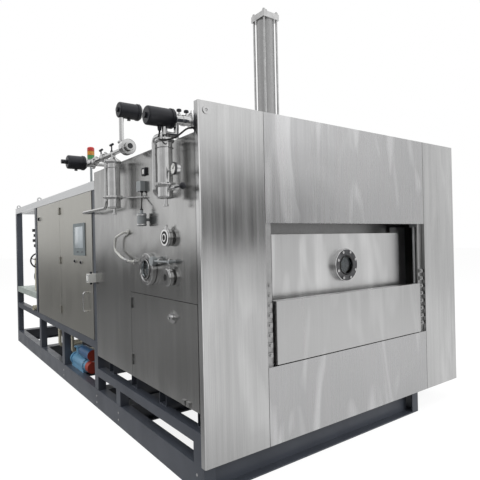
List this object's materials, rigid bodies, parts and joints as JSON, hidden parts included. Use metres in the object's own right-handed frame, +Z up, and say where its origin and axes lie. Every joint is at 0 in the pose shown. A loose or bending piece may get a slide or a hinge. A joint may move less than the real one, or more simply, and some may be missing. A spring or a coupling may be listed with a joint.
{
  "type": "freeze dryer",
  "caption": "Production freeze dryer on a steel skid: stainless facade with lifting slot door and sight glass, shelf chamber, stoppering cylinder, condenser, control cabinet and pipework.",
  "frame": {"origin": "centre of the floor anchor pattern, at floor level under the middle of the skid", "axes": "+Z up from the floor; +Y from the front facade to the rear of the skid; +X to the right as seen from the front"},
  "size_m": [3.433, 6.266, 4.086],
  "materials": {
    "skid_paint": "semi-gloss dark blue-grey paint",
    "stainless_brushed": "brushed stainless sheet, vertical grain",
    "stainless_chamber": "mill-finished stainless plate",
    "stainless_pipe": "polished stainless tube",
    "cabinet_sheet": "fine-grained stainless doors",
    "rail_white": "bright stainless section",
    "black_actuator": "black moulded actuator",
    "black_rubber": "black rubber",
    "silicone": "pale silicone gasket",
    "glass": "sight glass",
    "screen_plastic": "grey operator panel",
    "button_dark": "dark push button",
    "lens_red": "red lens",
    "lens_amber": "amber lens",
    "lens_green": "green lens",
    "lamp_body": "grey lamp base",
    "pump_blue": "light blue enamel",
    "motor_blue": "dark blue enamel",
    "compressor_green": "dark green cast housing",
    "copper_lines": "cream lagged pipe",
    "wheel_black": "black enamelled handwheel",
    "bolt_steel": "bright bolts",
    "filter_media": "white filter cartridge"
  },
  "bodies": {
    "base": {"skid_side_beams": "skid_paint", "skid_cross_beams": "skid_paint", "skid_posts": "skid_paint", "skid_top_rails": "skid_paint", "frame_posts": "skid_paint", "roof_rails": "rail_white", "facade_left_column": "stainless_brushed", "facade_right_column": "stainless_brushed", "facade_top_panel": "stainless_brushed", "facade_bottom_panel": "stainless_brushed", "slot_gasket": "silicone", "slot_guides": "stainless_chamber", "lift_cylinders": "stainless_chamber", "chamber_front_plate": "stainless_chamber", "chamber_shell": "stainless_chamber", "front_sight_flange": "stainless_pipe", "wall_ports": "stainless_pipe", "sight_glass_panes": "glass", "sight_glass_bolts": "bolt_steel", "shelf_1": "stainless_chamber", "cylinder_barrel": "stainless_chamber", "cylinder_end_caps": "stainless_chamber", "cylinder_tie_rods": "bolt_steel", "condenser_vessel": "stainless_chamber", "condenser_coil": "stainless_pipe", "left_cladding": "stainless_brushed", "outer_panels": "stainless_brushed", "wall_instruments": "screen_plastic", "gauge_cable": "black_rubber", "cabinet_shell": "cabinet_sheet", "stack_light_base": "lamp_body", "stack_light_red": "lens_red", "stack_light_amber": "lens_amber", "stack_light_green": "lens_green", "filter_shells": "stainless_pipe", "filter_cartridges": "filter_media", "pipe_manifold": "stainless_pipe", "valve_actuators": "black_actuator", "air_hose": "black_rubber", "circulation_pump": "pump_blue", "circulation_motor": "motor_blue", "compressors": "compressor_green", "service_pipes": "copper_lines"},
    "slot_door": {"slot_door": "stainless_brushed"},
    "ram": {"ram_rod": "stainless_pipe", "pressure_plate": "stainless_chamber"},
    "shelf_2": {"shelf_2": "stainless_chamber"},
    "shelf_3": {"shelf_3": "stainless_chamber"},
    "shelf_4": {"shelf_4": "stainless_chamber"},
    "isolation_valve": {"isolation_valve_disc": "stainless_chamber"},
    "access_door": {"access_door": "stainless_brushed"},
    "access_latch": {"access_latch": "stainless_pipe"},
    "cabinet_front_door": {"cabinet_front_door": "cabinet_sheet", "hmi_screen": "screen_plastic"},
    "cabinet_rear_door": {"cabinet_rear_door": "cabinet_sheet"},
    "cabinet_lock": {"cabinet_lock": "button_dark"},
    "start_button": {"start_button": "button_dark"},
    "stop_button": {"stop_button": "button_dark"},
    "handwheel": {"valve_handwheel": "wheel_black"},
    "sampling_knob": {"sampling_valve_knob": "button_dark"}
  },
  "joints": [
    {"name": "slot_door_lift", "type": "slide", "parent": "base", "child": "slot_door", "axis": [0, 0, 1], "range_m": [0, 0.54]},
    {"name": "ram_stroke", "type": "slide", "parent": "base", "child": "ram", "axis": [0, 0, -1], "range_m": [0, 0.12]},
    {"name": "shelf_4_follow", "type": "slide", "parent": "base", "child": "shelf_4", "axis": [0, 0, -1], "range_m": [0, 0.09]},
    {"name": "shelf_3_follow", "type": "slide", "parent": "base", "child": "shelf_3", "axis": [0, 0, -1], "range_m": [0, 0.06]},
    {"name": "shelf_2_follow", "type": "slide", "parent": "base", "child": "shelf_2", "axis": [0, 0, -1], "range_m": [0, 0.03]},
    {"name": "isolation_valve_stroke", "type": "slide", "parent": "base", "child": "isolation_valve", "axis": [0, 1, 0], "range_m": [0, 0.25]},
    {"name": "access_door_hinge", "type": "hinge", "parent": "base", "child": "access_door", "pos_m": [-1.2095, -1.99, 0.9], "axis": [0, 0, -1], "range_deg": [0, 110]},
    {"name": "access_latch_turn", "type": "hinge", "parent": "access_door", "child": "access_latch", "pos_m": [-1.2, -2.74, 1.13], "axis": [1, 0, 0], "range_deg": [0, 90]},
    {"name": "cabinet_front_door_hinge", "type": "hinge", "parent": "base", "child": "cabinet_front_door", "pos_m": [-1.2095, 0.226, 1.45], "axis": [0, 0, -1], "range_deg": [0, 85]},
    {"name": "cabinet_rear_door_hinge", "type": "hinge", "parent": "base", "child": "cabinet_rear_door", "pos_m": [-1.2095, 0.25, 1.45], "axis": [0, 0, 1], "range_deg": [0, 85]},
    {"name": "cabinet_lock_turn", "type": "hinge", "parent": "cabinet_rear_door", "child": "cabinet_lock", "pos_m": [-1.2, 1.32, 2.04], "axis": [1, 0, 0], "range_deg": [0, 90]},
    {"name": "start_button_press", "type": "slide", "parent": "cabinet_front_door", "child": "start_button", "axis": [1, 0, 0], "range_m": [0, 0.004], "stiffness_N_per_m": 400},
    {"name": "stop_button_press", "type": "slide", "parent": "cabinet_front_door", "child": "stop_button", "axis": [1, 0, 0], "range_m": [0, 0.004], "stiffness_N_per_m": 400},
    {"name": "handwheel_turn", "type": "hinge", "parent": "base", "child": "handwheel", "pos_m": [-1.1, 1.91, 1.43], "axis": [0, 1, 0], "continuous": true},
    {"name": "sampling_knob_turn", "type": "hinge", "parent": "base", "child": "sampling_knob", "pos_m": [-1.3, -3.04, 2.03], "axis": [0, 1, 0], "range_deg": [0, 180]}
  ],
  "couplings": [
    {"joint": "shelf_4_follow", "follows": "ram_stroke", "ratio": 0.75},
    {"joint": "shelf_3_follow", "follows": "ram_stroke", "ratio": 0.5},
    {"joint": "shelf_2_follow", "follows": "ram_stroke", "ratio": 0.25}
  ]
}
